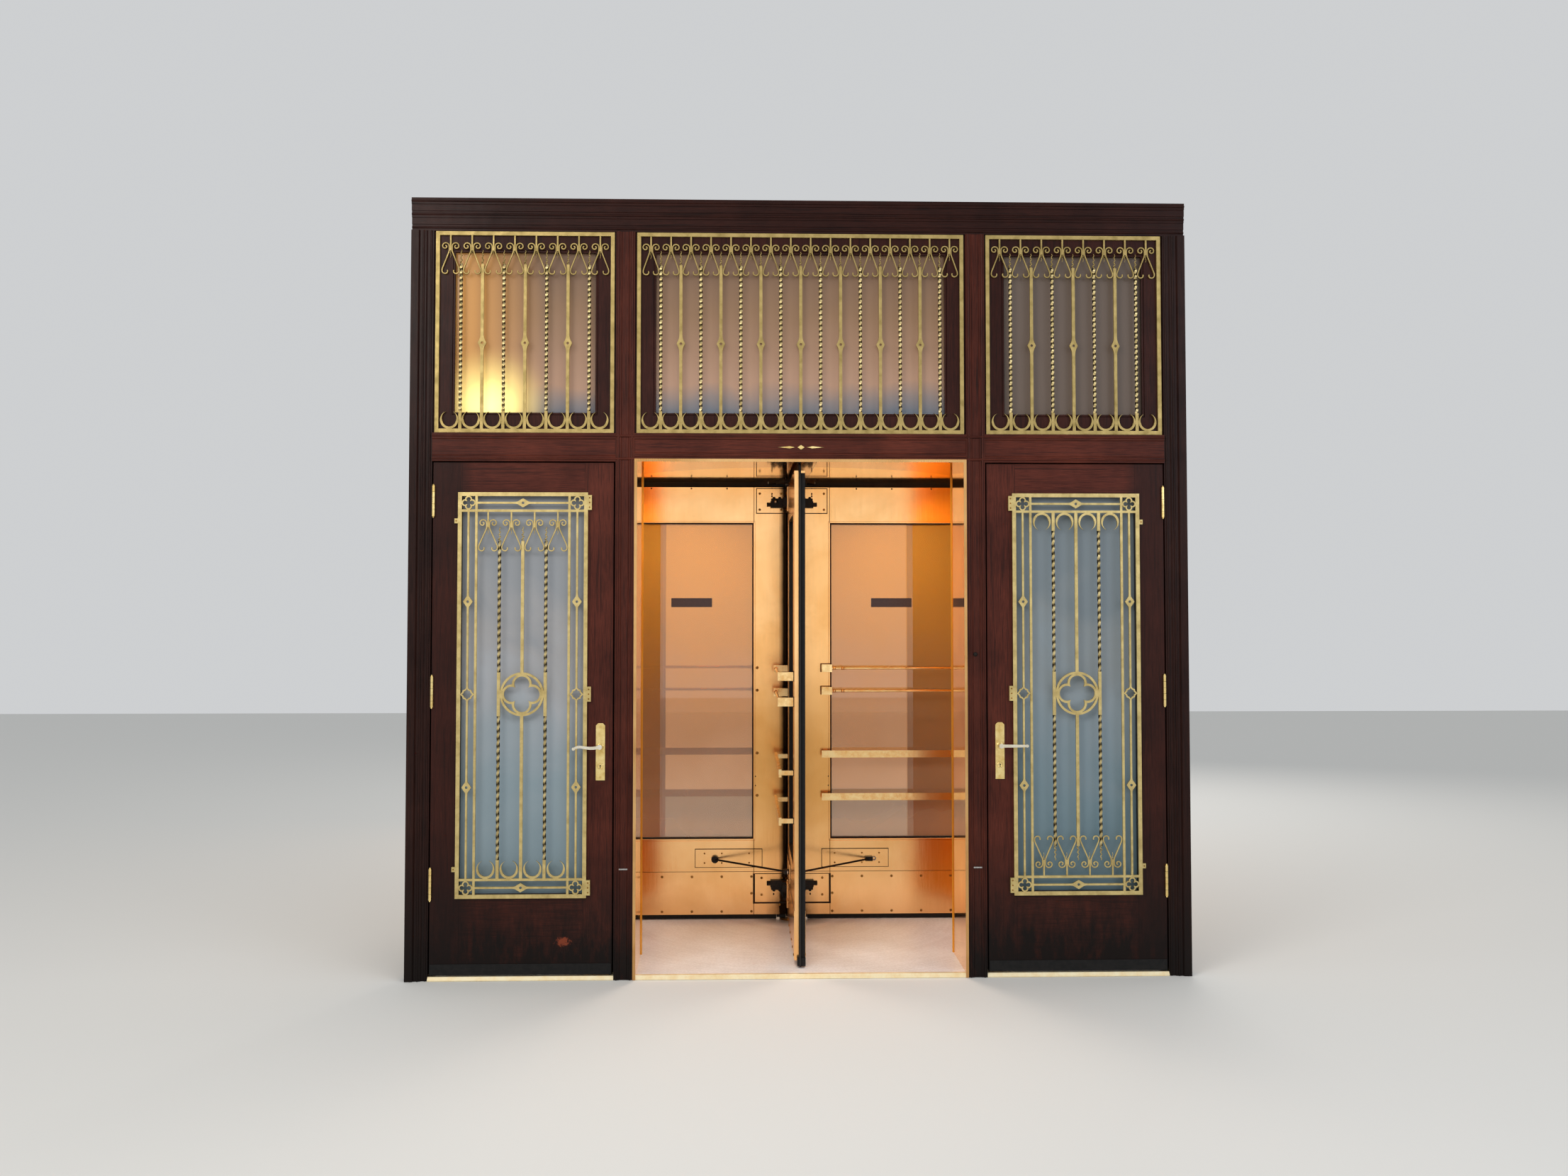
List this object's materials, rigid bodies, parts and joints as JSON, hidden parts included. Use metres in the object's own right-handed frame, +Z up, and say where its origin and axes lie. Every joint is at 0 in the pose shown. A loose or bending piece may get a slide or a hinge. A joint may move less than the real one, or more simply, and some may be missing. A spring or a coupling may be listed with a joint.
{
  "type": "revolving door with its timber entrance screen",
  "caption": "Entrance screen in dark timber: a four-wing bronze revolving door between two hinged side doors with brass grilles, under barred transom lights.",
  "frame": {"origin": "rotor axis at ground level", "axes": "+Z up along the rotor axis, -Y out of the front of the screen, +X to the right seen from outside"},
  "size_m": [3.276, 2.1924, 3.265],
  "materials": {
    "mahogany": "satin varnish",
    "mahogany_sash": "satin varnish",
    "frosted_glass": "frosted",
    "grille_brass": "satin, aged",
    "sill_brass": "worn",
    "reveal_bronze": "polished",
    "drum_bronze": "polished",
    "floor_stone": "polished",
    "cornice_timber": "satin varnish",
    "cover_sheet": "matt",
    "wing_bronze": "brushed and polished",
    "push_brass": "polished",
    "clear_glass": "clear",
    "black_rubber": "matt",
    "black_iron": "blackened",
    "hardware_brass": "lacquered",
    "lever_metal": "worn satin"
  },
  "bodies": {
    "screen": {"head_rail": "mahogany", "transom_rail": "mahogany", "left_outer_post": "mahogany", "left_mullion": "mahogany", "right_outer_post": "mahogany", "right_mullion": "mahogany", "centre_transom_sash": "mahogany_sash", "left_transom_sash": "mahogany_sash", "right_transom_sash": "mahogany_sash", "transom_glass": "frosted_glass", "centre_transom_grille": "grille_brass", "transom_twisted_bars": "grille_brass", "left_transom_grille": "grille_brass", "right_transom_grille": "grille_brass", "door_thresholds": "sill_brass", "front_sill": "sill_brass", "mouth_trim": "reveal_bronze", "left_reveal": "reveal_bronze", "right_reveal": "reveal_bronze", "rear_jambs": "drum_bronze", "drum_ceiling": "drum_bronze", "ceiling_plate": "drum_bronze", "floor_bearing": "drum_bronze", "drum_wall_front_right": "drum_bronze", "drum_wall_rear_right": "drum_bronze", "drum_wall_rear_left": "drum_bronze", "drum_wall_front_left": "drum_bronze", "drum_floor": "floor_stone", "drum_cornice": "cornice_timber", "drum_cover": "cover_sheet"},
    "rotor": {"centre_shaft": "black_iron", "wing_glass": "clear_glass", "weather_sweeps": "black_rubber", "kick_plates": "wing_bronze", "wing_plates": "wing_bronze", "hanger_brackets": "black_iron", "stay_rods": "black_iron", "right_wing_frame": "wing_bronze", "rear_wing_frame": "wing_bronze", "left_wing_frame": "wing_bronze", "front_wing_frame": "wing_bronze", "right_push_bars": "push_brass", "rear_push_bars": "push_brass", "left_push_bars": "push_brass", "front_push_bars": "push_brass"},
    "left_door": {"left_leaf": "mahogany_sash", "left_leaf_glass": "frosted_glass", "left_leaf_grille": "grille_brass", "left_leaf_twisted_bars": "grille_brass", "left_leaf_hardware": "hardware_brass", "left_kick_strip": "black_rubber"},
    "right_door": {"right_leaf": "mahogany_sash", "right_leaf_glass": "frosted_glass", "right_leaf_grille": "grille_brass", "right_leaf_twisted_bars": "grille_brass", "right_leaf_hardware": "hardware_brass", "right_kick_strip": "black_rubber"},
    "left_handle": {"left_lever": "lever_metal"},
    "right_handle": {"right_lever": "lever_metal"}
  },
  "joints": [
    {"name": "rotor_turn", "type": "hinge", "parent": "screen", "child": "rotor", "pos_m": [0, 0, 0.02], "axis": [0, 0, 1], "continuous": true},
    {"name": "left_door_swing", "type": "hinge", "parent": "screen", "child": "left_door", "pos_m": [-1.5377, -1.08642, 1.191], "axis": [0, 0, -1], "range_deg": [0, 90]},
    {"name": "left_lever_turn", "type": "hinge", "parent": "left_door", "child": "left_handle", "pos_m": [-0.837, -1.07942, 0.963], "axis": [0, -1, 0], "range_deg": [0, 45], "stiffness_Nm_per_rad": 0.8, "springref_deg": -11.46},
    {"name": "right_door_swing", "type": "hinge", "parent": "screen", "child": "right_door", "pos_m": [1.5377, -1.08642, 1.191], "axis": [0, 0, 1], "range_deg": [0, 90]},
    {"name": "right_lever_turn", "type": "hinge", "parent": "right_door", "child": "right_handle", "pos_m": [0.837, -1.07942, 0.963], "axis": [0, 1, 0], "range_deg": [0, 45], "stiffness_Nm_per_rad": 0.8, "springref_deg": -11.46}
  ]
}
